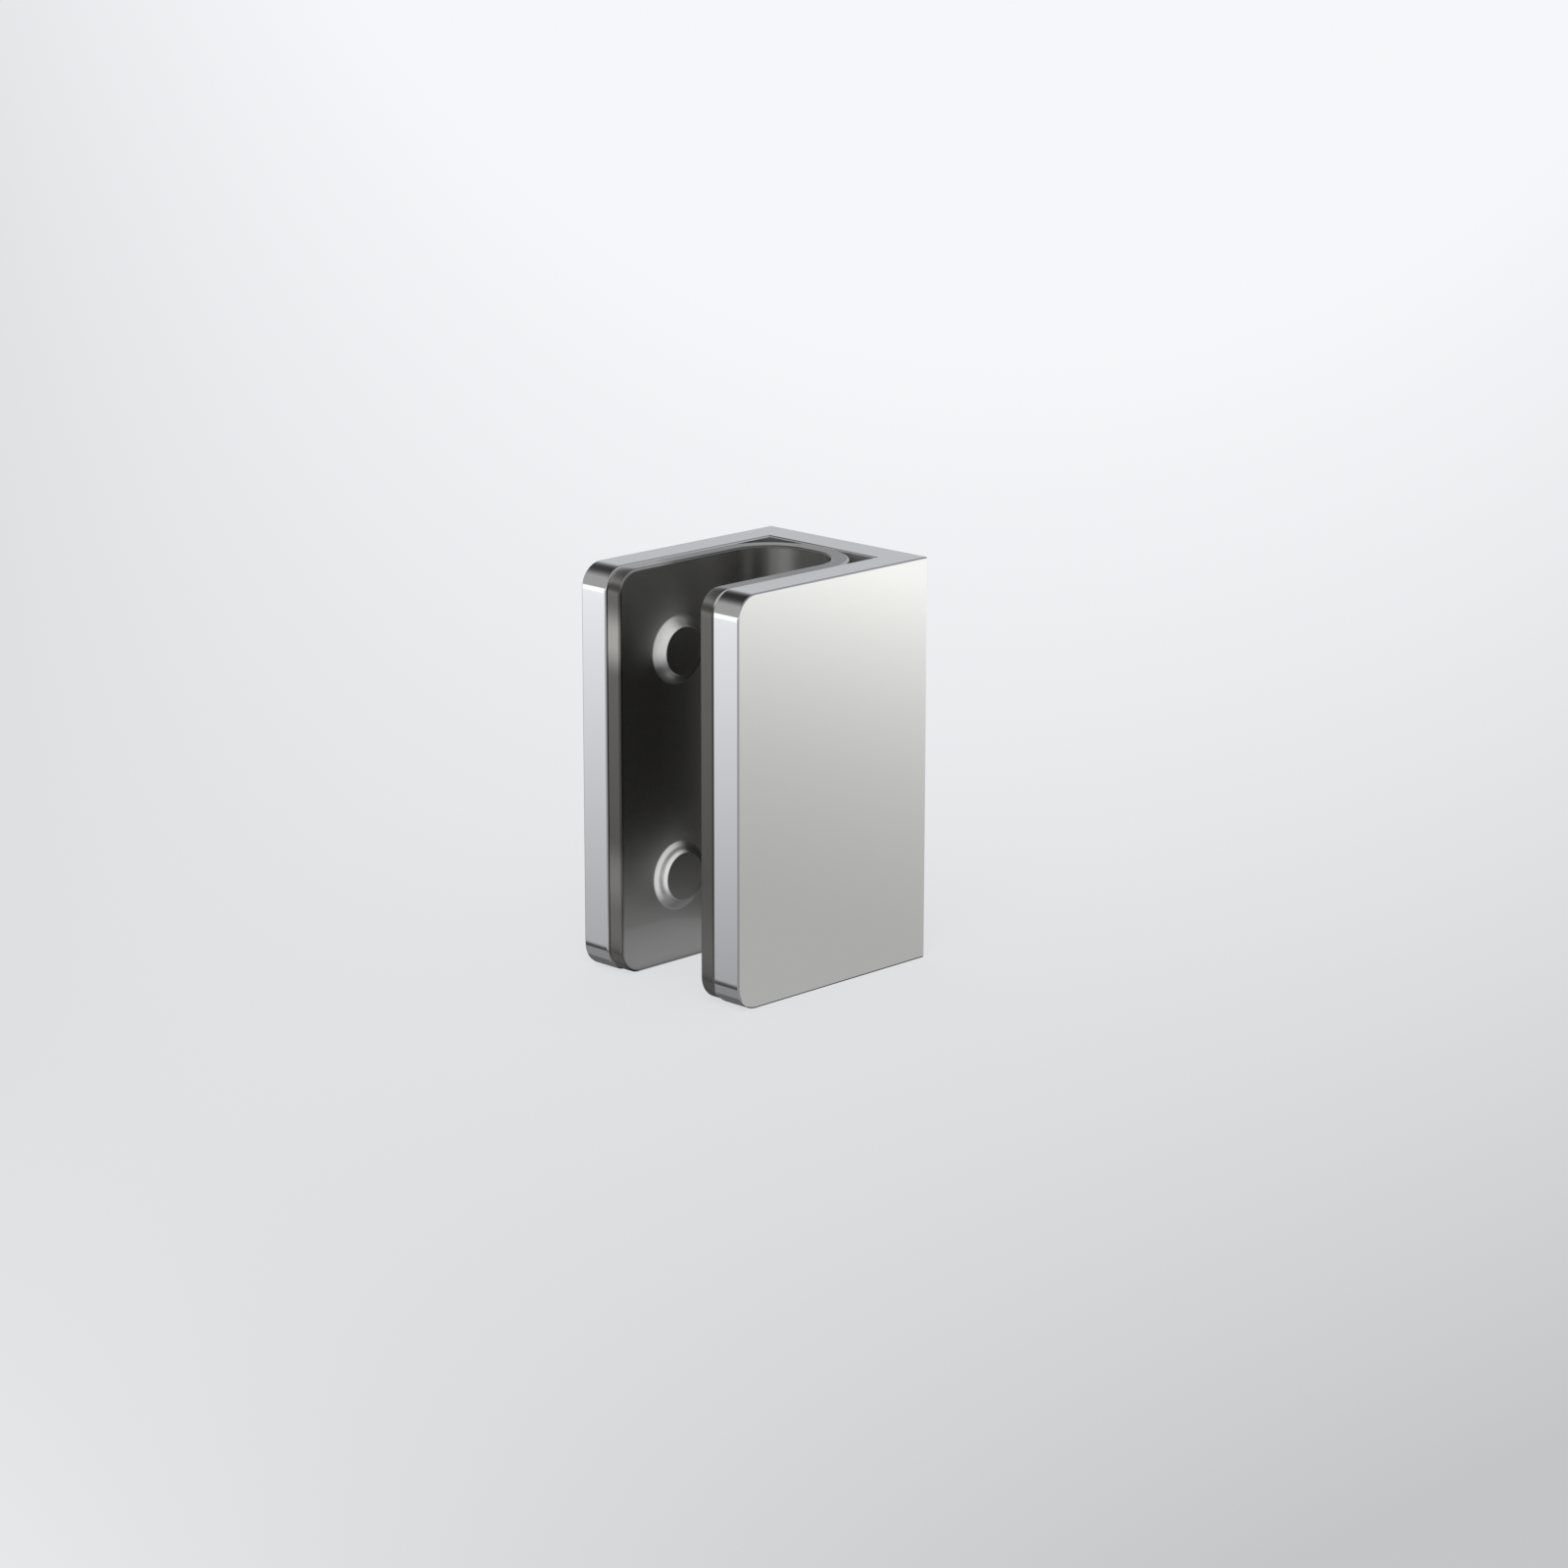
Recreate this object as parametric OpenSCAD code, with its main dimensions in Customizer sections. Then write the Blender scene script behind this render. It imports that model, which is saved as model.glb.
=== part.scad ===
// Glass U-bracket: a chromed channel that is screwed to a wall and grips the edge of a glass panel.
// The wall face lies in the XZ plane, the slot opens along -Y and the long side stands along Z.

/* [Channel] */
// Width across the two arms
body_w = 23.8; // [21:0.1:40]
// Depth from the wall face to the front of the arms
body_d = 28.8; // [24:0.1:50]
// Height of the bracket
body_h = 45; // [40:0.5:90]
// Thickness of each arm
arm_t = 3.75; // [3:0.05:4.8]
// Thickness of the web that lies on the wall
web_t = 4; // [3.4:0.1:6]
// Radius of the front corners of the arms, seen from the side
front_r = 2.7; // [1:0.1:5]
// Width of the bevel on the edges of the metal
edge_bevel = 0.2; // [0.1:0.05:0.6]

/* [Liner] */
// Thickness of the plastic liner
liner_t = 2; // [1.4:0.1:2.6]
// Outer radius of the two back corners of the liner
liner_corner_r = 7; // [3:0.1:7.4]
// Width of the bevel on the edges of the liner
liner_bevel = 0.25; // [0.1:0.05:0.5]
// Clearance between the liner and the channel
liner_gap = 0.05; // [0.02:0.01:0.2]
// How far the liner stops short of the ends and the front of the channel
liner_setback = 0.1; // [0:0.05:0.5]

/* [Pads] */
// Distance between the two pads and between the two clamp screws
pad_spacing = 25.2; // [14:0.1:28]
// Distance from the front of the arms to the centre of the pads
pad_inset = 8.7; // [6:0.1:11]
// Diameter of a pad where it rises from the liner
pad_base_d = 7.8; // [6.6:0.1:9]
// Diameter of the flat face of a pad
pad_face_d = 5.4; // [4:0.1:6.4]
// Height of a pad above the liner
pad_h = 1; // [0.6:0.05:1.6]
// How far the flank of a pad is hollowed
pad_hollow = 0.12; // [0.02:0.01:0.2]

/* [Clamp screws] */
// Diameter of a clamp screw
screw_d = 5; // [4:0.1:6]
// Length of a clamp screw
screw_len = 5; // [4.2:0.1:5.6]
// Depth of a tightened screw below the outside of the arm
screw_recess = 0.25; // [0:0.05:0.6]
// Width of the bevel at both ends of a screw
screw_bevel = 0.45; // [0.2:0.05:0.7]
// Width across the flats of the hexagon socket
socket_af = 2.5; // [2:0.1:3]
// Depth of the hexagon socket
socket_depth = 2.2; // [1:0.1:3]
// Clearance around a screw in its threaded hole
thread_gap = 0.05; // [0.02:0.01:0.1]
// Width of the bevel at the mouth of a threaded hole
mouth_bevel = 0.4; // [0.1:0.05:0.8]
// Clearance around the tip of a screw in the pocket of the liner
pocket_gap = 0.2; // [0.1:0.05:0.4]
// Clearance between the tip of a screw and the floor of its pocket
tip_gap = 0.05; // [0.02:0.01:0.2]

/* [Wall fixing] */
// Distance between the two wall screw holes
wall_spacing = 25; // [14:0.5:32]
// Diameter of a wall screw hole
wall_hole_d = 4.5; // [3.5:0.1:5.5]
// Diameter of the countersink for the head of a wall screw
wall_head_d = 8.4; // [7:0.1:9.6]

/* [Hidden] */
$fn = 96;
// How far a cutting shape runs past what it cuts
over = 1;
slot_w = body_w - 2 * arm_t;
liner_w = slot_w - 2 * liner_gap;
liner_h = body_h - 2 * liner_setback;
liner_back_y = -web_t - liner_gap;
liner_front_y = -body_d + liner_setback;
liner_r = min(liner_corner_r, liner_w / 2 - liner_bevel);
liner_bend_y = liner_back_y - liner_r;
// The pads and screws sit on the arm at the -X side
liner_outer_x = -liner_w / 2;
liner_face_x = liner_outer_x + liner_t;
pad_y = -body_d + pad_inset;
screw_head_x = -body_w / 2 + screw_recess;
screw_tip_x = screw_head_x + screw_len;
pocket_floor_x = screw_tip_x + tip_gap;
flank_steps = 6;
socket_r = socket_af / 2 / cos(30);

// A rectangle about the origin with its four corners cut off
module bevelled_rectangle(w, h, c) {
    polygon([
        [-w / 2 + c, -h / 2], [w / 2 - c, -h / 2], [w / 2, -h / 2 + c], [w / 2, h / 2 - c],
        [w / 2 - c, h / 2], [-w / 2 + c, h / 2], [-w / 2, h / 2 - c], [-w / 2, -h / 2 + c]
    ]);
}

// The outer block of the channel, bevelled on all twelve edges
module channel_block() {
    translate([0, -body_d / 2, 0]) intersection() {
        linear_extrude(body_h, center = true) bevelled_rectangle(body_w, body_d, edge_bevel);
        rotate([90, 0, 0])
            linear_extrude(body_d, center = true) bevelled_rectangle(body_w, body_h, edge_bevel);
        rotate([90, 0, 90])
            linear_extrude(body_w, center = true) bevelled_rectangle(body_d, body_h, edge_bevel);
    }
}

// The slot between the arms, with a bevelled mouth along the front edges
module channel_slot() {
    flare = slot_w / 2 + edge_bevel;
    linear_extrude(body_h + 2 * over, center = true) polygon([
        [-slot_w / 2, -web_t], [slot_w / 2, -web_t], [slot_w / 2, -body_d + edge_bevel],
        [flare + over, -body_d - over], [-flare - over, -body_d - over],
        [-slot_w / 2, -body_d + edge_bevel]
    ]);
}

// The bevel round the slot on the upper end of the channel
module slot_end_flare() {
    low = body_h / 2 - edge_bevel;
    high = body_h / 2 + over;
    reach = edge_bevel + over;
    front = -body_d - over;
    intersection() {
        rotate([90, 0, 0]) linear_extrude(2 * body_d, center = true) polygon([
            [-slot_w / 2, low], [slot_w / 2, low],
            [slot_w / 2 + reach, high], [-slot_w / 2 - reach, high]
        ]);
        rotate([90, 0, 90]) linear_extrude(2 * body_w, center = true)
            polygon([[front, low], [-web_t, low], [-web_t + reach, high], [front, high]]);
    }
}

// What is taken off the upper front corner of one arm to leave it round and bevelled
module arm_corner_cut(side) {
    middle_x = side * (body_w - arm_t) / 2;
    translate([middle_x, -body_d + front_r, body_h / 2 - front_r]) difference() {
        translate([0, -front_r, front_r])
            cube([arm_t + 2 * edge_bevel, 2 * front_r, 2 * front_r], center = true);
        rotate([0, 90, 0]) rotate_extrude() polygon([
            [0, -arm_t / 2], [front_r - edge_bevel, -arm_t / 2], [front_r, -arm_t / 2 + edge_bevel],
            [front_r, arm_t / 2 - edge_bevel], [front_r - edge_bevel, arm_t / 2], [0, arm_t / 2]
        ]);
    }
}

// A threaded hole through the arm at the -X side, drawn as a plain bore with a bevelled mouth
module screw_hole() {
    hole_r = screw_d / 2 + thread_gap;
    translate([-body_w / 2 - over, pad_y, 0]) rotate([0, 90, 0]) {
        cylinder(h = arm_t + 2 * over, r = hole_r);
        cylinder(h = over + mouth_bevel, r1 = hole_r + mouth_bevel + over, r2 = hole_r);
    }
}

// A wall screw hole through the web, countersunk from inside the slot
module wall_hole() {
    sink = (wall_head_d - wall_hole_d) / 2;
    translate([0, -web_t, 0]) rotate([-90, 0, 0]) {
        cylinder(h = web_t + over, d = wall_hole_d);
        cylinder(h = sink, d1 = wall_head_d, d2 = wall_hole_d);
        translate([0, 0, -over]) cylinder(h = over, d = wall_head_d);
    }
}

// The channel: two arms and a web in one piece
module channel_body() {
    color([0.78, 0.78, 0.8]) difference() {
        channel_block();
        channel_slot();
        for (end = [0, 1]) mirror([0, 0, end]) {
            slot_end_flare();
            for (side = [-1, 1]) arm_corner_cut(side);
            translate([0, 0, pad_spacing / 2]) screw_hole();
            translate([0, 0, wall_spacing / 2]) wall_hole();
        }
    }
}

// The section of the liner's wall, from its outer face at x = 0 inwards
module liner_section() {
    translate([-liner_t / 2, 0]) bevelled_rectangle(liner_t, liner_h, liner_bevel);
}

// The liner's wall, carried along the two sides, the two bends and the back of the U
module liner_wall() {
    bend_x = liner_w / 2 - liner_r;
    translate([-bend_x, liner_back_y, 0]) rotate([90, 0, 90])
        linear_extrude(2 * bend_x) liner_section();
    for (side = [0, 1]) mirror([side, 0, 0]) {
        translate([bend_x, liner_bend_y, 0]) rotate_extrude(angle = 90)
            translate([liner_r, 0]) liner_section();
        translate([liner_w / 2, liner_bend_y, 0]) rotate([90, 0, 0])
            linear_extrude(liner_bend_y - liner_front_y) liner_section();
    }
}

// One pad: a flat disc on a slightly hollow conical flank, drawn with its base on z = 0
module pad() {
    run = (pad_base_d - pad_face_d) / 2;
    flank = [for (i = [0:flank_steps]) let (s = i / flank_steps, dip = pad_hollow * 4 * s * (1 - s))
        [pad_base_d / 2 - run * s - dip, pad_h * s - dip]];
    rotate_extrude() polygon(concat([[0, -liner_t / 2], [pad_base_d / 2, -liner_t / 2]], flank, [[0, pad_h]]));
}

// What is taken off one front corner of the liner on both sides to follow the arms
module liner_corner_cut(end) {
    r = front_r;
    mirror([0, 0, end > 0 ? 0 : 1]) translate([0, liner_front_y + r, liner_h / 2 - r]) difference() {
        translate([0, -r, r]) cube([body_w, 2 * r, 2 * r], center = true);
        rotate([0, 90, 0]) cylinder(h = 2 * body_w, r = r, center = true);
    }
}

// The liner: a clear U with two pads that the clamp screws push on
module glass_liner() {
    pocket_r = screw_d / 2 + pocket_gap;
    color([0.75, 0.77, 0.8, 0.6]) difference() {
        union() {
            liner_wall();
            for (end = [-1, 1]) translate([liner_face_x, pad_y, end * pad_spacing / 2])
                rotate([0, 90, 0]) pad();
        }
        for (end = [-1, 1]) {
            translate([liner_outer_x - over, pad_y, end * pad_spacing / 2]) rotate([0, 90, 0])
                cylinder(h = pocket_floor_x - liner_outer_x + over, r = pocket_r);
            liner_corner_cut(end);
        }
    }
}

// One clamp screw without a head: a hexagon socket outside and a flat tip inside
module clamp_screw(end) {
    screw_r = screw_d / 2;
    color([0.55, 0.55, 0.57]) translate([screw_head_x, pad_y, end * pad_spacing / 2])
        rotate([0, 90, 0]) difference() {
            rotate_extrude() polygon([
                [0, 0], [screw_r - screw_bevel, 0], [screw_r, screw_bevel],
                [screw_r, screw_len - screw_bevel], [screw_r - screw_bevel, screw_len], [0, screw_len]
            ]);
            translate([0, 0, -over]) cylinder(h = socket_depth + over, r = socket_r, $fn = 6);
        }
}

module clamp_screw_upper() {
    clamp_screw(1);
}

module clamp_screw_lower() {
    clamp_screw(-1);
}

channel_body();
glass_liner();
clamp_screw_upper();
clamp_screw_lower();
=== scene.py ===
import math

import bmesh
import bpy
import numpy as np
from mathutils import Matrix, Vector


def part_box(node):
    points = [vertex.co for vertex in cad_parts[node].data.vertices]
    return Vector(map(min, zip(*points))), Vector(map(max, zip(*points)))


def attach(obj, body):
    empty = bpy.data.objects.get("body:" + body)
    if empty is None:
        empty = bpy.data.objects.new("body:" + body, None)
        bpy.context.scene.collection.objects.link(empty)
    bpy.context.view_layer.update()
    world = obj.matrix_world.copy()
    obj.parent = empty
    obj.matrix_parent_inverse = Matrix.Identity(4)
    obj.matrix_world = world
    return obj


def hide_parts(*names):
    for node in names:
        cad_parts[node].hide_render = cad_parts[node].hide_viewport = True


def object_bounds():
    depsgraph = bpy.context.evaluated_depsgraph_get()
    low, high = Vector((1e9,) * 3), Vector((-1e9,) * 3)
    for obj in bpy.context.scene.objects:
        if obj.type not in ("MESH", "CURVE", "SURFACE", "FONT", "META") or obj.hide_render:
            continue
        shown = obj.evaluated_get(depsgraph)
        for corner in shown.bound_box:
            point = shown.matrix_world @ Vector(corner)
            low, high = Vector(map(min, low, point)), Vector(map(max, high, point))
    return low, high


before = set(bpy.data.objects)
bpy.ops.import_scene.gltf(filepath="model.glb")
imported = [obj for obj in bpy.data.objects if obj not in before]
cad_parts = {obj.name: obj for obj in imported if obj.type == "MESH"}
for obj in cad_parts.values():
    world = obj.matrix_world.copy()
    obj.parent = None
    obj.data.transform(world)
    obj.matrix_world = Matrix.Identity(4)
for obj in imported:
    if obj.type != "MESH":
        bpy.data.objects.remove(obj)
cadLow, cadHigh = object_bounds()

mm = 0.001
quarter = math.pi / 2


# Meshes

def meshObject(name, points, faces):
    # An object at the origin whose mesh holds the points, in metres, with every face turned outwards
    mesh = bpy.data.meshes.new(name)
    mesh.from_pydata(np.asarray(points, float).tolist(), [], [tuple(int(i) for i in f) for f in faces])
    work = bmesh.new()
    work.from_mesh(mesh)
    bmesh.ops.remove_doubles(work, verts=work.verts, dist=1e-8)
    bmesh.ops.recalc_face_normals(work, faces=work.faces)
    work.to_mesh(mesh)
    work.free()
    piece = bpy.data.objects.new(name, mesh)
    bpy.context.scene.collection.objects.link(piece)
    return piece


def gridFaces(rows, columns, closed):
    # Four-cornered faces of a grid whose points are numbered row by row.
    # Where it is closed, the last column is joined to the first.
    across = np.arange(columns if closed else columns - 1)
    down = np.arange(rows - 1)[:, None] * columns
    here = down + across
    beside = down + (across + 1) % columns
    return np.stack([here, beside, beside + columns, here + columns], -1).reshape(-1, 4)


def turned(name, profile, steps, centre, axis):
    # A turned solid: each profile point (distance along the axis, radius) is swept once round the axis.
    # The first and the last profile point lie on the axis, so the ends are closed.
    profile = np.asarray(profile, float)
    along = profile[:, 0][:, None]
    radius = profile[:, 1][:, None]
    angle = np.linspace(0, 2 * math.pi, steps, endpoint=False)[None, :]
    local = np.stack([along + 0 * angle, radius * np.cos(angle), radius * np.sin(angle)], -1)
    order = {"x": (0, 1, 2), "y": (2, 0, 1)}[axis]  # which local value becomes X, Y and Z
    points = local.reshape(-1, 3)[:, order] + np.asarray(centre)
    return meshObject(name, points, gridFaces(len(profile), steps, True))


def carve(piece, cutters, operation):
    # Joins the cutters to the piece or takes them away, one Boolean after the other
    for cutter in cutters:
        change = piece.modifiers.new(cutter.name, "BOOLEAN")
        change.object = cutter
        change.operation = operation
        change.solver = "EXACT"


def settle(piece, cutters, sharpAngle):
    # Makes the result of the modifiers the mesh, removes the cutters and sets which edges look sharp
    shape = bpy.data.meshes.new_from_object(piece.evaluated_get(bpy.context.evaluated_depsgraph_get()))
    piece.modifiers.clear()
    piece.data = shape
    for cutter in cutters:
        bpy.data.objects.remove(cutter)
    shape.polygons.foreach_set("use_smooth", np.ones(len(shape.polygons), bool))
    shape.set_sharp_from_angle(angle=math.radians(sharpAngle))
    weighted = piece.modifiers.new("flat faces keep flat", "WEIGHTED_NORMAL")
    weighted.keep_sharp = True
    weighted.weight = 60
    return piece


# Shader maths

class Value:
    # A socket in an expression: each operator adds one Math node
    def __init__(self, graph, socket):
        self.graph = graph
        self.socket = socket

    def maths(self, operation, *others):
        inputs = {i: v for i, v in enumerate((self,) + others)}
        return self.graph.value("ShaderNodeMath", {"operation": operation}, inputs)

    def __add__(self, other):
        return self.maths("ADD", other)

    def __radd__(self, other):
        return self.maths("ADD", other)

    def __sub__(self, other):
        return self.maths("SUBTRACT", other)

    def __rsub__(self, other):
        return self.maths("MULTIPLY_ADD", -1.0, other)

    def __neg__(self):
        return self.maths("MULTIPLY", -1.0)

    def __abs__(self):
        return self.maths("ABSOLUTE")

    def __mul__(self, other):
        return self.maths("MULTIPLY", other)

    def __rmul__(self, other):
        return self.maths("MULTIPLY", other)

    def __truediv__(self, other):
        return self.maths("DIVIDE", other)

    def clamp(self, low, high):
        return self.maths("MINIMUM", high).maths("MAXIMUM", low)

    def positive(self):
        return self.maths("MAXIMUM", 0.0)

    def root(self):
        return self.maths("SQRT")

    def towards(self, other, share):
        # This value where share is 0, the other where it is 1
        return self + (other - self) * share

    def step(self, low, high):
        # 0 below low, 1 above high and a smooth rise between
        settings = {"interpolation_type": "SMOOTHSTEP"}
        return self.graph.value("ShaderNodeMapRange", settings, {0: self, 1: low, 2: high, 3: 0.0, 4: 1.0})


class Graph:
    # A node tree with one way to add a node
    def __init__(self, tree):
        self.tree = tree
        tree.nodes.clear()

    def node(self, kind, settings=None, inputs=None):
        made = self.tree.nodes.new(kind)
        for key, setting in (settings or {}).items():
            setattr(made, key, setting)
        for key, given in (inputs or {}).items():
            self.feed(made.inputs[key], given)
        return made

    def feed(self, socket, given):
        if isinstance(given, Value):
            self.tree.links.new(given.socket, socket)
        elif isinstance(given, bpy.types.NodeSocket):
            self.tree.links.new(given, socket)
        else:
            socket.default_value = given

    def value(self, kind, settings=None, inputs=None, output=0):
        return Value(self, self.node(kind, settings, inputs).outputs[output])

    def mix(self, amount, first, second):
        # The first colour where amount is 0, the second where it is 1
        made = self.node("ShaderNodeMix", {"data_type": "RGBA"}, {0: amount, 6: first, 7: second})
        return made.outputs[2]

    def scaled(self, colour, amount):
        # A colour times a value
        settings = {"data_type": "RGBA", "blend_type": "MULTIPLY"}
        return self.node("ShaderNodeMix", settings, {0: 1.0, 6: colour, 7: amount}).outputs[2]

    def blend(self, amount, first, second):
        # The first shader where amount is 0, the second where it is 1
        inputs = {0: amount, 1: first.outputs[0], 2: second.outputs[0]}
        return self.node("ShaderNodeMixShader", None, inputs)

    def axes(self, socket):
        parts = self.node("ShaderNodeSeparateXYZ", None, {0: socket})
        return [Value(self, parts.outputs[i]) for i in range(3)]


def newMaterial(name):
    made = bpy.data.materials.new(name)
    made.use_nodes = True
    return made, Graph(made.node_tree)


def finishMaterial(graph, shader):
    graph.node("ShaderNodeOutputMaterial", None, {0: shader.outputs[0]})


def dress(piece, material):
    piece.data.materials.clear()
    piece.data.materials.append(material)


# Chrome channel

channel = {
    "armThickness": 3.75 * mm,
    "webThickness": 4.0 * mm,
    "frontRadius": 2.7 * mm,
    "edgeRadius": 0.2 * mm,
    "arcSteps": 28,
    "edgeSteps": 4,
    "screwHoleRadius": 2.55 * mm,
    "screwMouth": 0.4 * mm,
    "wallHoleRadius": 2.25 * mm,
    "wallHeadRadius": 4.2 * mm,
    "wallSpacing": 25.0 * mm,
    "colour": (0.90, 0.90, 0.90, 1),
    "roughness": 0.03,
}

chLow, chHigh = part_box("channel_body")
screwLow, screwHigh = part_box("clamp_screw_upper")
screwY = (screwLow.y + screwHigh.y) / 2
screwZ = (screwLow.z + screwHigh.z) / 2


def channelShape():
    # The side outline of an arm: back corner, quarter circle at the top, the same at the bottom, back corner.
    # It stands in four planes across the width, and flat faces and strips join them into one U.
    half = chHigh.x
    inner = half - channel["armThickness"]
    front, top = chLow.y, chHigh.z
    r = channel["frontRadius"]
    angle = np.linspace(0, quarter, channel["arcSteps"] + 1)
    arcY = front + r - r * np.sin(angle)
    arcZ = top - r + r * np.cos(angle)
    sideY = np.concatenate([arcY, arcY[::-1]])
    sideZ = np.concatenate([arcZ, -arcZ[::-1]])
    z = np.concatenate([[top], sideZ, [-top]])
    planes = []
    web = channel["webThickness"]
    for x, back in ((-half, 0), (-inner, -web), (inner, -web), (half, 0)):
        y = np.concatenate([[back], sideY, [back]])
        planes.append(np.stack([np.full(len(y), x), y, z], 1))
    ring = len(z)
    last = ring - 1

    def at(plane, i):
        return plane * ring + i

    faces = [at(plane, np.arange(ring)).tolist() for plane in range(4)]
    i = np.arange(1, last - 1)
    for low, high in ((0, 1), (2, 3)):
        faces += np.stack([at(low, i), at(low, i + 1), at(high, i + 1), at(high, i)], 1).tolist()
    for back, tangent in ((0, 1), (last, last - 1)):
        # The flat upper or lower end: from the outer back corners round one arm, the slot and the other arm
        spots = (back, back, tangent, tangent, back, back, tangent, tangent)
        faces.append([at(plane, spot) for plane, spot in zip((0, 3, 3, 2, 2, 1, 1, 0), spots)])
    faces.append([at(0, 0), at(3, 0), at(3, last), at(0, last)])
    faces.append([at(1, 0), at(2, 0), at(2, last), at(1, last)])
    piece = meshObject("chrome_channel", np.concatenate(planes), faces)
    roundEdges(piece, inner)
    return piece


def roundEdges(piece, inner):
    # Every edge of the U is rounded but the two inside corners, the lines across the arcs and those that lie
    # in a flat face
    mesh = piece.data
    spots = np.empty(len(mesh.vertices) * 3)
    mesh.vertices.foreach_get("co", spots)
    ends = np.empty(len(mesh.edges) * 2, int)
    mesh.edges.foreach_get("vertices", ends)
    a, b = spots.reshape(-1, 3)[ends.reshape(-1, 2)].transpose(1, 0, 2)
    close = 1e-7
    web = channel["webThickness"]
    onSide = np.abs(a[:, 0] - b[:, 0]) < close
    alongWeb = (np.abs(a[:, 1] + web) < close) & (np.abs(a[:, 1] - b[:, 1]) < close)
    insideCorner = alongWeb & (np.abs(np.abs(a[:, 0]) - inner) < close)
    inWeb = (a[:, 1] > -web - close) & (b[:, 1] > -web - close)
    weight = np.where(onSide, ~insideCorner, inWeb).astype(np.float32)
    mesh.attributes.new("bevel_weight_edge", "FLOAT", "EDGE").data.foreach_set("value", weight)
    bevel = piece.modifiers.new("rounded edges", "BEVEL")
    bevel.width = channel["edgeRadius"]
    bevel.segments = channel["edgeSteps"]
    bevel.limit_method = "WEIGHT"
    bevel.use_clamp_overlap = False


def channelHoles():
    # Two plain holes for the threaded clamp screws in the arm at the -X side and two countersunk holes in the
    # web
    over = 1.0 * mm
    cutters = []
    r, mouth = channel["screwHoleRadius"], channel["screwMouth"]
    wide, headWide = channel["wallHoleRadius"], channel["wallHeadRadius"]
    web = channel["webThickness"]
    for end in (-1, 1):
        reach = channel["armThickness"] + over
        profile = [(-over, 0), (-over, r + mouth + over), (mouth, r), (reach, r), (reach, 0)]
        cutters.append(turned("screw_hole", profile, 64, (chLow.x, screwY, end * screwZ), "x"))
        sink = headWide - wide
        deep = web + over
        profile = [(-over, 0), (-over, headWide), (0, headWide), (sink, wide), (deep, wide), (deep, 0)]
        cutters.append(turned("wall_hole", profile, 64, (0, -web, end * channel["wallSpacing"] / 2), "y"))
    return cutters


def chromeMaterial():
    # Polished plating with faint unevenness from polishing, drawn out along Z
    made, graph = newMaterial("polished_chrome")
    place = graph.node("ShaderNodeTexCoord").outputs["Object"]
    mapping = graph.node("ShaderNodeMapping", None, {"Vector": place, "Scale": (900, 900, 240)})
    stretched = mapping.outputs[0]
    grain = graph.value("ShaderNodeTexNoise", None, {"Vector": stretched, "Scale": 1.0, "Detail": 3.0})
    cloud = graph.value("ShaderNodeTexNoise", None, {"Vector": place, "Scale": 110.0, "Detail": 2.0})
    bump = graph.node("ShaderNodeBump", None, {"Strength": 0.02, "Distance": 0.00002, "Height": grain})
    shader = graph.node("ShaderNodeBsdfPrincipled", None, {
        "Base Color": channel["colour"],
        "Metallic": 1.0,
        "Roughness": channel["roughness"] + 0.03 * grain + 0.03 * cloud,
        "Normal": bump.outputs[0],
    })
    finishMaterial(graph, shader)
    return made


print("chrome channel")
chromeChannel = channelShape()
holes = channelHoles()
carve(chromeChannel, holes, "DIFFERENCE")
settle(chromeChannel, holes, 35)
dress(chromeChannel, chromeMaterial())
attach(chromeChannel, "bracket")
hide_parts("channel_body")


# Clear liner with its two pads

liner = {
    "thickness": 2.0 * mm,
    "bendRadius": 7.0 * mm,
    "frontRadius": 2.7 * mm,
    "edgeRadius": 0.25 * mm,
    "bendSteps": 28,
    "cornerSteps": 16,
    "edgeSteps": 5,
    "padBaseRadius": 3.9 * mm,
    "padFaceRadius": 2.7 * mm,
    "padHeight": 1.0 * mm,
    "padHollow": 0.12 * mm,
    "padEdge": 0.06 * mm,
    "pocketRadius": 2.7 * mm,
    "pocketDepth": 1.5 * mm,
    "colour": (0.80, 0.81, 0.82, 1),
    "roughness": 0.03,
    "ior": 1.49,
    "satinShare": 0.95,
    "shineRoughness": 0.28,
    "frostAndPaintedLight": (0.85, 0.85, 0.84, 1),
    # The tones below paint light and shade into the shine: the upper and front edges are painted darker, and
    # painted highlights are added where the left side starts, towards the foot and beside the pads.
    "wallTone": 0.39,
    "paintedUpperShade": 0.21,
    "paintedUpperLight": 0.30,  # added where the left side starts
    "paintedEdgeShade": 0.135,
    "paintedFootLight": 0.14,  # added towards the foot
    "glows": ((14.9, 0.6, 4.2, 0.34), (-11.3, 0.4, 4.6, 0.17)),  # height, full to, gone at, strength
}

liLow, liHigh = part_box("glass_liner")


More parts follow.
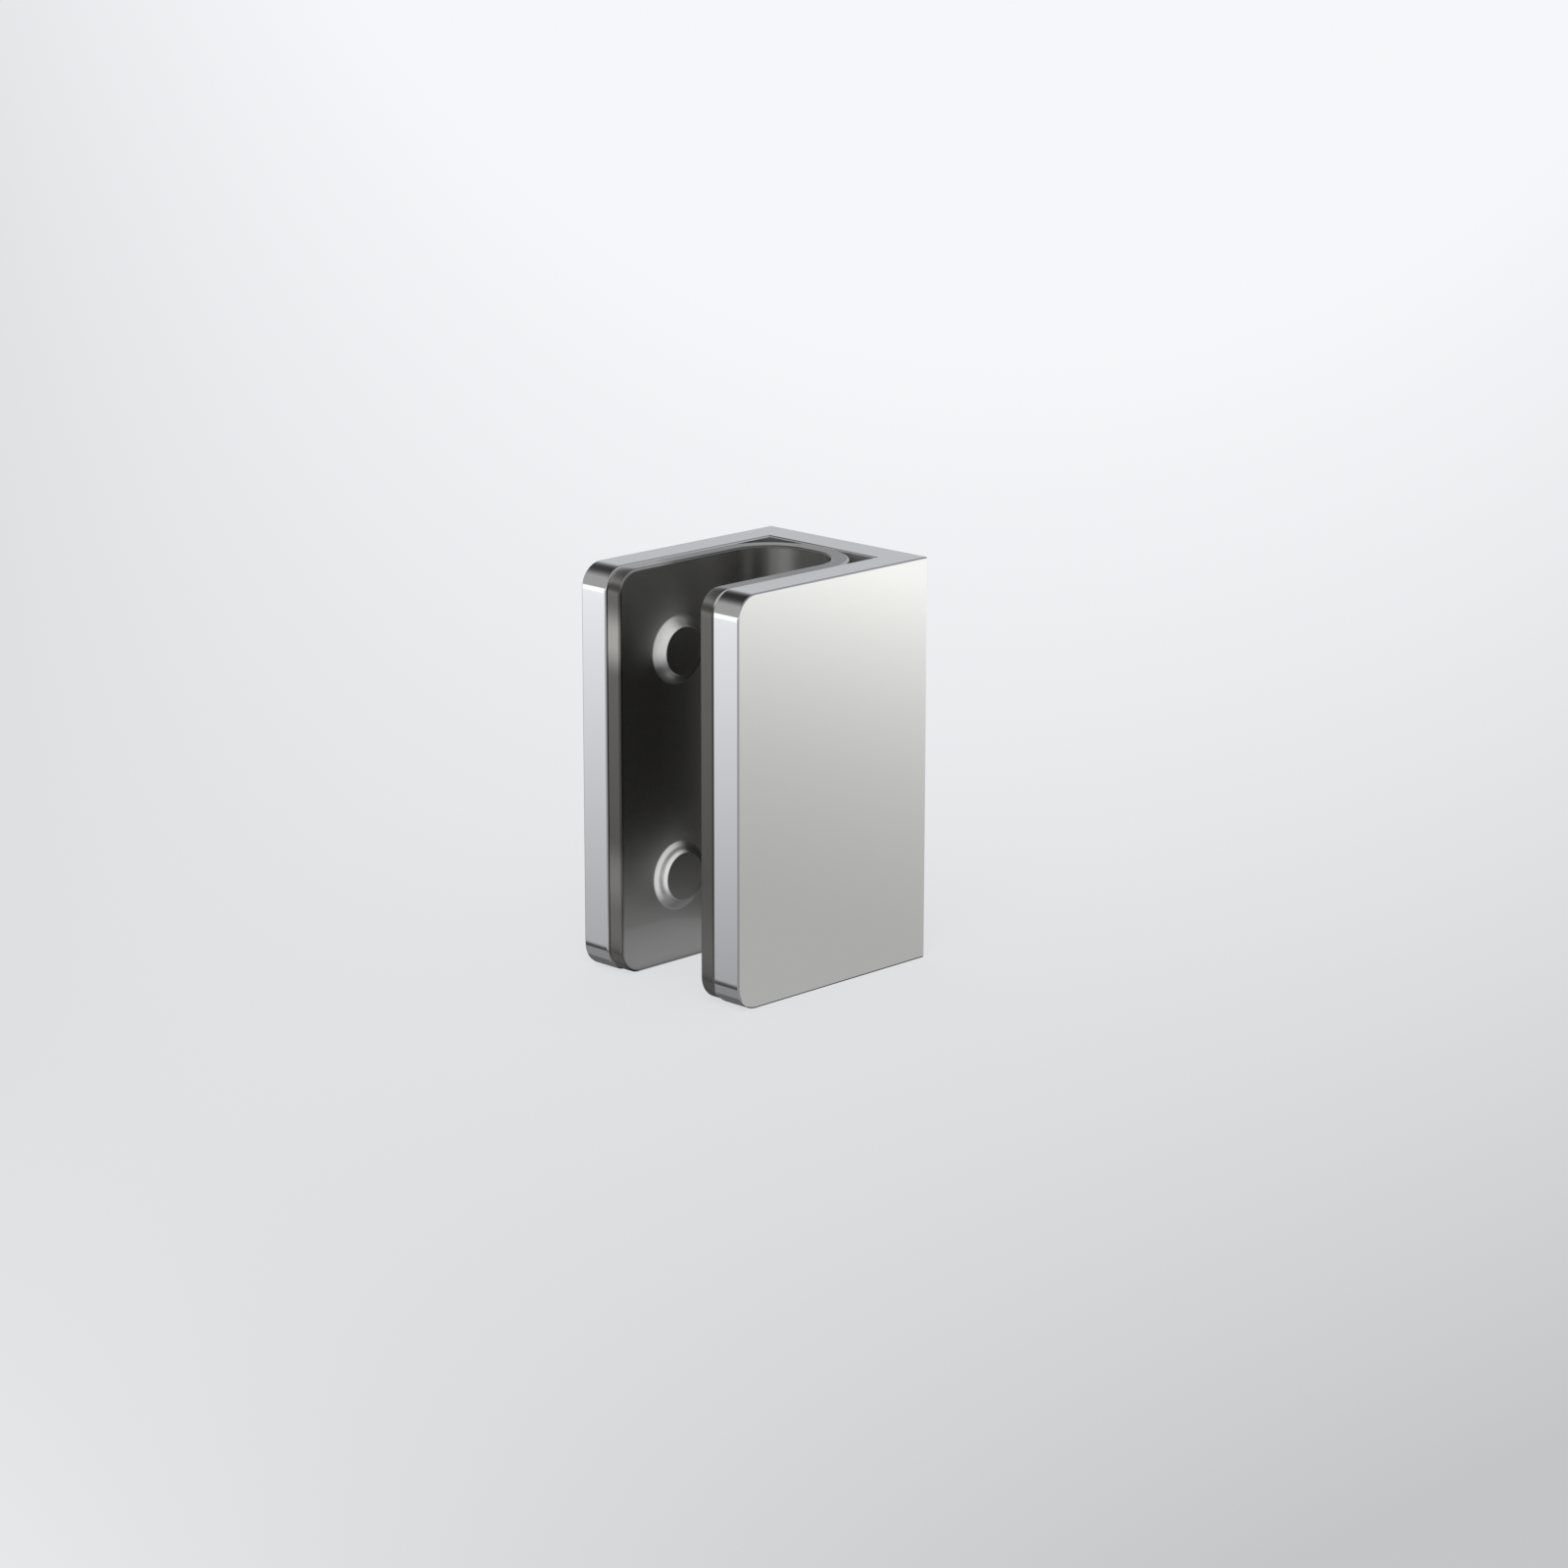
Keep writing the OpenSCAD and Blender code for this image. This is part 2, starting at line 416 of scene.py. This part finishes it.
def linerShape():
    # A flat plate with round corners and round edges, bent round the U.
    # s runs along the middle of the wall from the centre of the back, z up it, n outwards through it.
    t, e, r = liner["thickness"], liner["edgeRadius"], liner["frontRadius"]
    outer = liner["bendRadius"]
    middle = outer - t / 2
    top = liHigh.z
    bendX = liHigh.x - outer
    bendY = liHigh.y - outer
    bendLength = quarter * middle
    length = bendX + bendLength + bendY - liLow.y
    turn = np.linspace(0, quarter, liner["cornerSteps"] + 1)
    s = np.concatenate([
        [0], bendX + bendLength * np.linspace(0, 1, liner["bendSteps"] + 1),
        np.linspace(bendX + bendLength, length - r, 8)[1:-1], length - r + (r - e) * np.sin(turn)
    ])
    z = np.concatenate([np.full(len(s) - len(turn), top - e), top - r + (r - e) * np.cos(turn)])
    outS = np.concatenate([np.zeros(len(s) - len(turn)), np.sin(turn)])
    outZ = np.concatenate([np.ones(len(s) - len(turn)), np.cos(turn)])
    s, z = np.concatenate([-s[:0:-1], s]), np.concatenate([z[:0:-1], z])
    outS, outZ = np.concatenate([-outS[:0:-1], outS]), np.concatenate([outZ[:0:-1], outZ])
    ringS, ringZ = np.concatenate([s, s[::-1]]), np.concatenate([z, -z[::-1]])
    outS, outZ = np.concatenate([outS, outS[::-1]]), np.concatenate([outZ, -outZ[::-1]])
    # The edge of the plate: a quarter circle, the flat rim and another quarter circle through the thickness
    bend = np.linspace(0, quarter, liner["edgeSteps"] + 1)
    reach = e * np.concatenate([np.sin(bend), np.sin(bend)[::-1]])[:, None]
    through = (t / 2 - e) + e * np.cos(bend)
    through = np.concatenate([through, -through[::-1]])[:, None]
    gridS = ringS + reach * outS
    gridZ = ringZ + reach * outZ
    gridN = through + 0 * ringS
    # Bent: straight back, quarter circle about the bend's centre, straight side
    along, side = np.abs(gridS), np.sign(gridS)
    angle = np.clip((along - bendX) / middle, 0, quarter)
    x = side * (np.minimum(along, bendX) + (middle + gridN) * np.sin(angle))
    y = bendY + (middle + gridN) * np.cos(angle) - np.maximum(along - bendX - bendLength, 0)
    points = np.stack([x, y, gridZ], -1).reshape(-1, 3)
    ring, count = len(ringS), len(s)
    rim = gridFaces(len(through), ring, True)
    i = np.arange(count - 1)
    face = np.stack([i, i + 1, ring - 2 - i, ring - 1 - i], 1)
    lastRow = ring * (len(through) - 1)
    return meshObject("clear_liner", points, np.concatenate([rim, face, face + lastRow]))


def padShape(z):
    # A disc on a flank that dips below the straight line by a parabola, turned about the X axis
    base, face, height = liner["padBaseRadius"], liner["padFaceRadius"], liner["padHeight"]
    inside = liner["thickness"] / 2
    share = np.linspace(0, 1, 13)
    dip = liner["padHollow"] * 4 * share * (1 - share)
    flank = np.stack([height * share - dip, base - (base - face) * share - dip], 1)
    flank[-1] -= (liner["padEdge"], 0)
    end = [(height, face - liner["padEdge"]), (height, 0)]
    profile = np.concatenate([[(-inside, 0), (-inside, base)], flank, end])
    return turned("pad", profile, 96, (liLow.x + liner["thickness"], screwY, z), "x")


def pocketShape(z):
    over = 1.0 * mm
    r, depth = liner["pocketRadius"], liner["pocketDepth"]
    profile = [(-over, 0), (-over, r), (depth, r), (depth, 0)]
    return turned("pocket", profile, 64, (liLow.x, screwY, z), "x")


def linerPaintedTone(x, y, z, frontEdge, padSide):
    # Painted light and shade standing in for the chrome seen through the plastic: even on the walls, painted
    # darker on the edges. All lengths are in mm.
    # The front edge gets painted light towards the foot and a painted highlight beside each pad.
    foot = 1 - z.step(-20.0, -8.0)
    edge = liner["paintedEdgeShade"] + liner["paintedFootLight"] * foot + 0.04 * foot * padSide
    for height, full, gone, strength in liner["glows"]:
        edge = edge + strength * (1 - abs(z - height).step(full, gone)) * padSide
    # The upper edge is painted darker than the walls, with a painted highlight where the left side starts
    upper = liner["paintedUpperShade"] + liner["paintedUpperLight"] * (1 - y.step(-23.0, -20.0)) * padSide
    top = liHigh.z / mm
    tone = upper.towards(liner["wallTone"], 1 - z.step(top - 0.4, top - 0.25))
    tone = tone.towards(edge, frontEdge)
    # Painted contact shade: darker in two steps close to the foot
    above = z - liLow.z / mm
    return tone * (0.45 + 0.15 * above.step(0.2, 1.0) + 0.4 * above.step(0.15, 0.45))


def linerMaterial():
    # Smoky clear plastic. The chrome behind its walls is painted on as a soft shine, with painted light and
    # shade, and a frosted layer paints highlights on the flanks of the pads, most of them up and forward.
    made, graph = newMaterial("clear_plastic")
    place = graph.node("ShaderNodeTexCoord").outputs["Object"]
    x, y, z = [axis / mm for axis in graph.axes(place)]
    flow = graph.value("ShaderNodeTexNoise", None, {"Vector": place, "Scale": 160.0, "Detail": 2.0})
    ripple = graph.node("ShaderNodeBump", None, {"Strength": 0.05, "Distance": 0.00005, "Height": flow})
    bump = ripple.outputs[0]
    padSide = 1 - x.step(-1.0, 1.0)
    frontEdge = 1 - (y - liLow.y / mm).step(0.15, 0.5)

    # Pads: distance from the axis, and how far a spot lies towards the front and the top
    sideUp = (abs(z) - screwZ / mm) * z.maths("SIGN")
    sideFront = screwY / mm - y
    reach = (sideUp * sideUp + sideFront * sideFront).root()
    height = x - (liLow.x + liner["thickness"]) / mm
    face, base = liner["padFaceRadius"] / mm, liner["padBaseRadius"] / mm
    flank = reach.step(face - 0.1, face) * (1 - reach.step(base - 0.15, base + 0.05))
    flank = flank * height.step(0.0, 0.08) * (1 - x.step(0.0, 1.0))
    toLight = (0.87 * sideFront + 0.5 * sideUp) / reach

    # Painted shade on the side of each pad's flank that faces away from the light
    tone = linerPaintedTone(x, y, z, frontEdge, padSide) * (1 - 0.65 * flank * (1 - toLight.step(-0.3, 0.5)))
    paintedShine = graph.node("ShaderNodeCombineColor", None, {
        0: tone,
        1: tone * (0.99 - 0.02 * frontEdge),
        2: tone * (0.95 - 0.07 * frontEdge),
    })

    # Painted highlights on the pads' flanks: frost where they face the light. The lower pad has more of it,
    # with a clear ring between, painted as a dark line between the highlights.
    lowPad = 1 - z.step(-1.0, 1.0)
    lit = toLight.step(0.45, 0.95).towards(toLight.step(0.2, 0.8), lowPad)
    ring = (1 - abs(reach - 3.1).step(0.05, 0.3)) * lowPad * (0.45 + 0.5 * flow)
    padPaintedHighlight = 0.06 + (0.62 + 0.36 * lowPad) * lit * (1 - ring)
    # A painted halo round the pads, on the side of the light
    fade = ((base - reach) * 0.6).maths("EXPONENT").maths("MINIMUM", 1.0)
    paintedHalo = 0.15 * ((0.6 * sideFront + 0.8 * sideUp) / reach).step(0.2, 1.0) * fade * padSide
    paintedHalo = paintedHalo * y.step(-28.0, -26.0) * (1 - z.step(20.5, 22.0)) * reach.step(base - 0.3, base)
    # Painted light on the walls, as a little frost: high up, low down and at the back
    deep = y.step(-22.0, -15.0)
    high = z.step(9.0, 20.0) * (1 - deep)
    low = (1 - z.step(-14.5, -4.0)) * z.step(-20.0, -15.0) * (1 - 0.8 * deep)
    wallPaintedLight = 0.045 * high + 0.075 * low + 0.04 * y.step(-12.0, -7.0) + paintedHalo
    # The outside of the U: distance from the line about which its bends turn, against their radius
    radius = liner["bendRadius"] / mm
    sideX = (abs(x) - (liHigh.x / mm - radius)).positive()
    sideY = (y - (liHigh.y / mm - radius)).positive()
    outside = (sideX * sideX + sideY * sideY).root().step(radius - 0.3, radius - 0.15)
    frostAndPaintedLight = (wallPaintedLight * (1 - frontEdge)).towards(padPaintedHighlight, flank) + 0.35 * outside * (1 - frontEdge)

    clear = graph.node("ShaderNodeBsdfPrincipled", None, {
        "Base Color": liner["colour"],
        "Roughness": liner["roughness"] + 0.02 * flow,
        "IOR": liner["ior"],
        "Transmission Weight": 1.0,
        "Normal": bump,
    })
    satinPaintedShine = graph.node("ShaderNodeBsdfPrincipled", None, {
        "Base Color": paintedShine.outputs[0],
        "Metallic": 1.0,
        "Roughness": liner["shineRoughness"] + 0.04 * flow,
        "Coat Weight": 0.6,
        "Coat Roughness": 0.04,
        "Normal": bump,
    })
    frosted = graph.node("ShaderNodeBsdfPrincipled", None, {
        "Base Color": liner["frostAndPaintedLight"],
        "Roughness": 0.3,
        "Coat Weight": 0.8,
        "Coat Roughness": 0.05,
        "Normal": bump,
    })
    body = graph.blend(liner["satinShare"], clear, satinPaintedShine)
    finishMaterial(graph, graph.blend(frostAndPaintedLight, body, frosted))
    return made


print("clear liner")
clearLiner = linerShape()
pads = [padShape(end * screwZ) for end in (-1, 1)]
pockets = [pocketShape(end * screwZ) for end in (-1, 1)]
carve(clearLiner, pads, "UNION")
carve(clearLiner, pockets, "DIFFERENCE")
settle(clearLiner, pads + pockets, 35)
dress(clearLiner, linerMaterial())
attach(clearLiner, "bracket")
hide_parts("glass_liner")


# Clamp screws

screw = {
    "pitch": 0.8 * mm,
    "threadDepth": 0.42 * mm,
    "bevel": 0.45 * mm,
    "socketFlats": 2.5 * mm,
    "socketDepth": 2.2 * mm,
    "socketMouth": 0.12 * mm,
    "drillPoint": 0.5 * mm,
    "steps": 96,
    "rows": 76,
    "colour": (0.56, 0.56, 0.57, 1),
    "roughness": 0.28,
}


def clampScrew(node):
    # Outside: the radius less a thread, which is a triangle wave of the distance along the axis minus one
    # pitch for each turn. Inside: a hexagonal socket with a drilled point. The rows run from the tip to it.
    low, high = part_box(node)
    length, radius = high.x - low.x, (high.y - low.y) / 2
    angle = np.linspace(0, 2 * math.pi, screw["steps"], endpoint=False)[None, :]
    x = np.linspace(length, 0, screw["rows"])[:, None]
    phase = (x / screw["pitch"] - angle / (2 * math.pi)) % 1
    cut = np.clip(1.25 * np.abs(2 * phase - 1) - 0.125, 0, 1)
    endCone = radius - screw["bevel"] + np.minimum(x, length - x)
    outside = np.minimum(radius - screw["threadDepth"] * cut, endCone)
    sector = (angle + math.pi / 6) % (math.pi / 3) - math.pi / 6
    hexagon = screw["socketFlats"] / 2 / np.cos(sector)
    mouth, floor = screw["socketMouth"], screw["socketDepth"]
    point = floor + screw["drillPoint"]
    zero = 0 * angle
    drilled = zero + 0.45 * screw["socketFlats"]
    across = np.concatenate([zero, outside, hexagon + mouth, hexagon, hexagon, drilled, zero])
    along = np.concatenate([[[length]], x, [[0], [mouth], [floor], [floor], [point]]]) + zero
    y = (low.y + high.y) / 2 + across * np.cos(angle)
    z = (low.z + high.z) / 2 + across * np.sin(angle)
    points = np.stack([low.x + along, y, z], -1).reshape(-1, 3)
    piece = meshObject(node + "_threaded", points, gridFaces(len(along), screw["steps"], True))
    piece.data.polygons.foreach_set("use_smooth", np.ones(len(piece.data.polygons), bool))
    piece.data.set_sharp_from_angle(angle=math.radians(30))
    return piece


def screwMaterial():
    # Plain steel, a little rough and finely mottled
    made, graph = newMaterial("plain_steel")
    place = graph.node("ShaderNodeTexCoord").outputs["Object"]
    fine = graph.value("ShaderNodeTexNoise", None, {"Vector": place, "Scale": 1800.0, "Detail": 2.0})
    shader = graph.node("ShaderNodeBsdfPrincipled", None, {
        "Base Color": graph.mix(fine, screw["colour"], (0.42, 0.42, 0.43, 1)),
        "Metallic": 1.0,
        "Roughness": screw["roughness"] + 0.12 * fine,
    })
    finishMaterial(graph, shader)
    return made


print("clamp screws")
steel = screwMaterial()
for node in ("clamp_screw_upper", "clamp_screw_lower"):
    threaded = clampScrew(node)
    dress(threaded, steel)
    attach(threaded, node)
    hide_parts(node)


# Camera at the photograph's place

camera = {
    "azimuth": 45.0,
    "elevation": 14.55,
    "distance": 482.8 * mm,
    "focalPixels": 4543.5,
    "imagePixels": 1600,
    "aimX": 770.6,
    "aimY": 778.9,
    "sensor": 36.0,
}

turn, tilt = math.radians(camera["azimuth"]), math.radians(camera["elevation"])
middle = (cadLow + cadHigh) / 2


def placeCamera():
    # The middle of the bracket shows at aimX, aimY in the photograph's frame
    data = bpy.data.cameras.new("camera")
    data.sensor_width = camera["sensor"]
    data.lens = camera["focalPixels"] / camera["imagePixels"] * camera["sensor"]
    data.shift_x = 0.5 - camera["aimX"] / camera["imagePixels"]
    data.shift_y = camera["aimY"] / camera["imagePixels"] - 0.5
    data.clip_start = 0.01
    data.clip_end = 100.0
    back = Vector((math.sin(turn) * math.cos(tilt), -math.cos(turn) * math.cos(tilt), math.sin(tilt)))
    view = bpy.data.objects.new("camera", data)
    view.location = middle + back * camera["distance"]
    view.rotation_mode = "QUATERNION"
    view.rotation_quaternion = (-back).to_track_quat("-Z", "Y")
    bpy.context.scene.collection.objects.link(view)
    bpy.context.scene.camera = view


print("camera")
placeCamera()
bpy.context.scene.view_settings.view_transform = "Standard"


# Stage: pale floor and a studio whose wall is light near the floor and dark above

stage = {
    "size": 12.0,
    "shadow": 0.12,
    "pale": 0.94,
    "tint": (0.985, 0.992, 1.02, 1),
    "halfFrame": 0.18,  # half the photograph's width, as a share of the distance from the camera
    # The painted light of the bare floor: factor, power of across and power of rise
    "floorWithPaintedLight": (
        (0.818, 0, 0), (0.025, 1, 0), (0.243, 0, 1), (0.136, 1, 1), (-0.076, 2, 0),
        (0.017, 0, 2), (-0.058, 1, 2), (-0.088, 2, 1), (-0.014, 0, 3),
    ),
    "whiteBand": 1.12,
    "paintedContactShadow": 0.05,
    "lampPower": 1.4,
    "lampSize": 0.30,
    "lampPlace": (0.24, -0.32, 0.42),
}


def floorWithPaintedLight(x, y):
    # Painted light: the floor's brightness sweeps across the frame.
    # How light the floor is where the camera sees it. across and rise say where a spot shows in the
    # photograph's frame, from -1 to 1, and the tone is a polynomial of the two. Outside the frame it fades
    # into the surround, so that no line shows at the horizon.
    offset = y - middle.y / mm
    drop = (middle.z - cadLow.z) / mm
    nearer = x * math.sin(turn) - offset * math.cos(turn)
    away = camera["distance"] / mm + drop * math.sin(tilt) - math.cos(tilt) * nearer
    halfFrame = away.maths("MAXIMUM", 120.0) * stage["halfFrame"]
    across = (x * math.cos(turn) + offset * math.sin(turn)) / halfFrame
    rise = (-math.sin(tilt) * nearer - drop * math.cos(tilt)) / halfFrame
    inFrame = (1 - abs(across).step(1.05, 2.5)) * (1 - rise.step(1.03, 1.42)) * rise.step(-2.5, -1.05)
    across, rise = across.clamp(-1.1, 1.1), rise.clamp(-1.1, 1.1)
    tone = 0.0
    for term, acrossPower, risePower in stage["floorWithPaintedLight"]:
        for place in [across] * acrossPower + [rise] * risePower:
            term = place * term
        tone = term + tone
    return tone.clamp(0.5, 0.962).towards(stage["pale"], 1 - inFrame)


def mirroredFloor(x, y):
    # What the bracket mirrors: four sectors of floor round its front corners, with soft borders.
    # Gives the tone and the share of the sector on the right.
    halfWidth = cadHigh.x / mm
    ahead = -y + cadLow.y / mm
    beside = x - halfWidth
    besideLeft = -x - halfWidth
    inFront = (ahead + 0.65 * beside.positive()).step(-0.2, 0.2)
    toCamera = inFront * (beside + 0.65 * ahead).step(-0.2, 0.2)
    onRight = (1 - inFront) * beside.step(-0.2 - 0.8 * y.positive(), 0.2)
    leftEnd = (besideLeft - 1.5 * ahead.positive()).step(0.5, 1.5 + 0.5 * besideLeft.positive())
    onLeft = inFront * (1 - toCamera) * (1 - leftEnd)
    distance = (x * x + y * y).root().maths("MINIMUM", 230.0)
    # Ahead on the left: brighter with the distance, a white band far off, and just before the arms a painted
    # contact shadow and a painted dark band
    run = -(x + y)
    left = 0.329 + 0.00195 * run - 0.00000055 * run * run
    left = left.towards(stage["whiteBand"], ahead.step(133.0, 137.0))
    left = left.towards(0.25, 1 - ahead.step(3.2, 4.2))
    left = left.towards(0.07, ahead.step(3.4, 4.4) * (1 - ahead.step(6.2, 7.0)))
    # On the right: brighter towards the back
    behind = y.clamp(0.0, 145.0)
    right = 0.448 + 0.00132 * behind + 0.0000181 * behind * behind
    # In the slot and everywhere else
    halfSlot = halfWidth - channel["armThickness"] / mm
    web, corner = channel["webThickness"] / mm, channel["frontRadius"] / mm
    inSlot = (1 - abs(x).step(halfSlot - 0.15, halfSlot + 0.25)) * (1 - y.step(-web - 0.2, -web + 0.2))
    inSlot = inSlot * (1 - ahead.step(-corner - 0.5, -corner + 0.5))
    rest = (0.10 + 0.0010 * distance).towards(0.55, inSlot)
    towardsCamera = 0.24 + 0.0008 * distance
    tone = toCamera * towardsCamera + onRight * right + onLeft * left
    tone = tone + (1 - toCamera - onRight - onLeft) * rest
    # Painted contact shadow: dark where the metal stands on the floor
    metalX = 1 - (abs(x) - halfWidth).step(0.1, 0.5)
    metalY = (1 - y.step(0.0, 0.3)) * (1 - ahead.step(-1.75, -1.4))
    return tone.towards(stage["paintedContactShadow"], metalX * metalY * (1 - inSlot)), onRight


def rayKinds(graph):
    rays = graph.node("ShaderNodeLightPath")
    return Value(graph, rays.outputs["Is Camera Ray"]), Value(graph, rays.outputs["Is Diffuse Ray"])


def floorMaterial():
    # The floor glows with the tone that is seen or mirrored, and a little plain paint keeps a shadow
    made, graph = newMaterial("studio_floor")
    x, y = [axis / mm for axis in graph.axes(graph.node("ShaderNodeTexCoord").outputs["Object"])[:2]]
    mirrored, onRight = mirroredFloor(x, y)
    isCamera, isDiffuse = rayKinds(graph)
    strength = isCamera * floorWithPaintedLight(x, y) + (1 - isCamera) * (1 - isDiffuse) * mirrored + isDiffuse * 0.8
    mirroredTint = graph.mix(onRight, (0.992, 1.0, 1.04, 1), (1.0, 1.0, 0.975, 1))
    colour = graph.mix(isCamera, mirroredTint, stage["tint"])
    glow = graph.node("ShaderNodeEmission", None, {0: graph.scaled(colour, strength)})
    paint = graph.node("ShaderNodeBsdfDiffuse", None, {0: (0.8, 0.8, 0.8, 1)})
    finishMaterial(graph, graph.blend(isCamera * stage["shadow"], glow, paint))
    return made


def studioWorld():
    # Metal and plastic mirror a white band at the horizon, a grey wall that is lighter at the back and a dark
    # ceiling. Everything else is lit by a plain white surround, and straight on it is pale.
    world = bpy.data.worlds.new("studio")
    world.use_nodes = True
    bpy.context.scene.world = world
    graph = Graph(world.node_tree)
    x, y, z = graph.axes(graph.node("ShaderNodeTexCoord").outputs["Generated"])
    back = y.step(-0.05, 0.55)
    ceiling = (z + 0.2 * y).step(0.44, 0.75) * (1 - 0.6 * x.step(-0.5, 0.0))
    mirrored = (0.36 + 0.18 * back).towards(0.03, ceiling).towards(stage["whiteBand"], 1 - z.step(0.03, 0.07))
    isCamera, isDiffuse = rayKinds(graph)
    strength = isDiffuse * 0.9 + (1 - isCamera) * (1 - isDiffuse) * mirrored
    strength = strength + isCamera * (stage["pale"] - 0.02)
    plain = graph.mix(isCamera, (1.0, 1.0, 1.0, 1), stage["tint"])
    colour = graph.mix(back * (1 - isCamera), plain, (0.99, 1.0, 1.045, 1))
    sky = graph.node("ShaderNodeBackground", None, {0: graph.scaled(colour, strength)})
    graph.node("ShaderNodeOutputWorld", None, {0: sky.outputs[0]})


def softLamp():
    # A square lamp that faces the bracket and is not itself mirrored
    data = bpy.data.lights.new("lamp_front", "AREA")
    data.shape = "SQUARE"
    data.size = stage["lampSize"]
    data.energy = stage["lampPower"]
    lamp = bpy.data.objects.new("lamp_front", data)
    lamp.location = stage["lampPlace"]
    lamp.rotation_mode = "QUATERNION"
    lamp.rotation_quaternion = (-Vector(stage["lampPlace"])).to_track_quat("-Z", "Y")
    lamp.visible_glossy = False
    lamp.visible_transmission = False
    bpy.context.scene.collection.objects.link(lamp)


print("stage")
side = stage["size"] / 2
corners = [(-side, -side, cadLow.z), (side, -side, cadLow.z), (side, side, cadLow.z), (-side, side, cadLow.z)]
floor = meshObject("floor", corners, [(0, 1, 2, 3)])
dress(floor, floorMaterial())
studioWorld()
softLamp()
